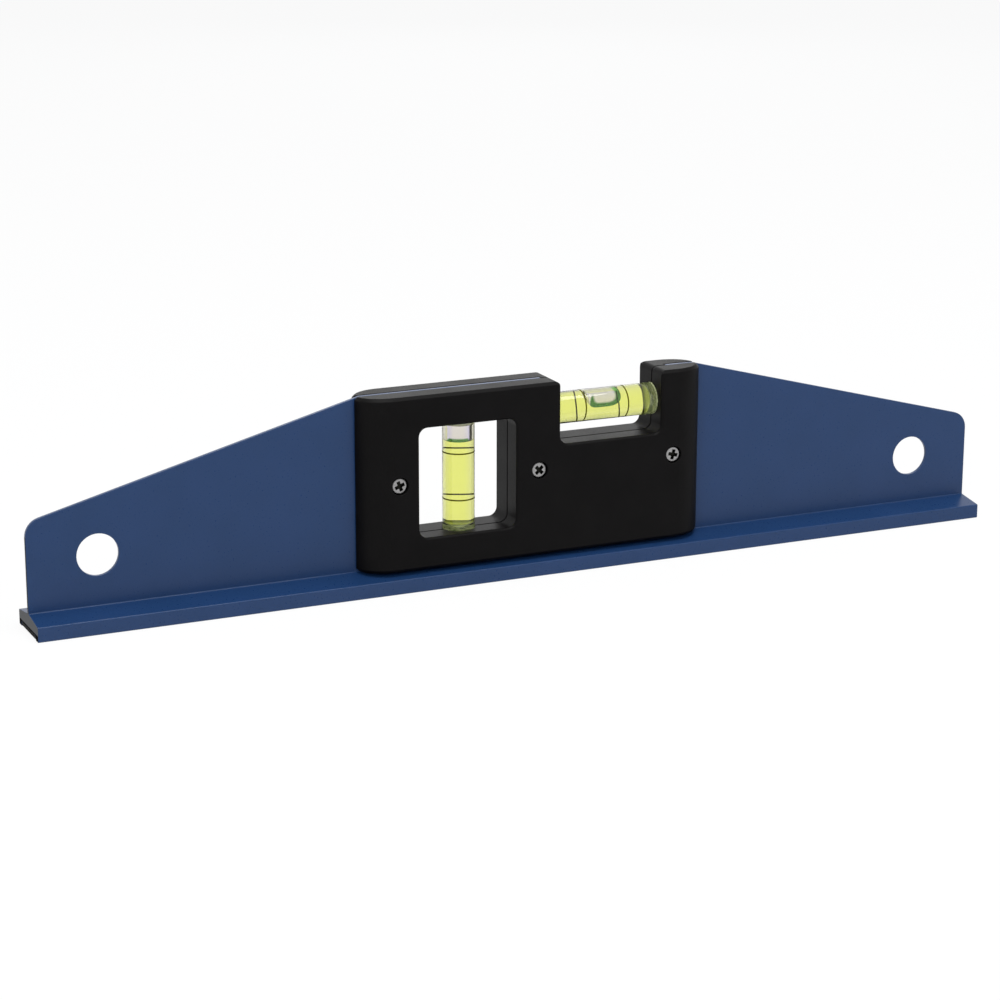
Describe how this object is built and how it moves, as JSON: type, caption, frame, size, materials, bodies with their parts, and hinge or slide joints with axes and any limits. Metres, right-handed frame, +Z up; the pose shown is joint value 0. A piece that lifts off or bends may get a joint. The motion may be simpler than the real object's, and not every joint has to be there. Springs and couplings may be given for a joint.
{
  "type": "magnetic spirit level",
  "caption": "Blue aluminium spirit level with a magnet strip in its sole, hang holes and a black housing with level and plumb vials.",
  "frame": {"origin": "centre of the level's footprint, on the surface that its sole stands on", "axes": "+X along the level towards the notched end of the housing, +Y towards the rear half of the housing, +Z up from the sole"},
  "size_m": [0.3, 0.019, 0.0568],
  "materials": {
    "blue_coat": "powder coated, satin",
    "magnet": "matte",
    "tape": "matte",
    "black_plastic": "fine grained, satin",
    "screw_steel": "zinc plated",
    "clear_acrylic": "polished",
    "line_paint": "matte",
    "vial_liquid": "clear liquid",
    "bubble_air": "clear"
  },
  "bodies": {
    "level": {"blade": "blue_coat", "magnet_strip": "magnet", "adhesive_tape": "tape", "front_housing": "black_plastic", "rear_housing": "black_plastic", "left_screw": "screw_steel", "middle_screw": "screw_steel", "right_screw": "screw_steel", "level_vial_tube": "clear_acrylic", "level_vial_plug": "clear_acrylic", "level_vial_left_line": "line_paint", "level_vial_right_line": "line_paint", "level_vial_liquid": "vial_liquid", "plumb_vial_tube": "clear_acrylic", "plumb_vial_plug": "clear_acrylic", "plumb_vial_upper_line": "line_paint", "plumb_vial_lower_line": "line_paint", "plumb_vial_liquid": "vial_liquid"},
    "level_bubble": {"level_vial_bubble": "bubble_air"},
    "plumb_bubble": {"plumb_vial_bubble": "bubble_air"}
  },
  "joints": [
    {"name": "level_bubble_slide", "type": "slide", "parent": "level", "child": "level_bubble", "axis": [1, 0, 0], "range_m": [-0.0095, 0.0088], "stiffness_N_per_m": 5, "deforming": ["level_vial_liquid"]},
    {"name": "plumb_bubble_slide", "type": "slide", "parent": "level", "child": "plumb_bubble", "axis": [0, 0, -1], "range_m": [0, 0.0239], "stiffness_N_per_m": 5, "springref_m": -0.004, "deforming": ["plumb_vial_liquid"]}
  ]
}
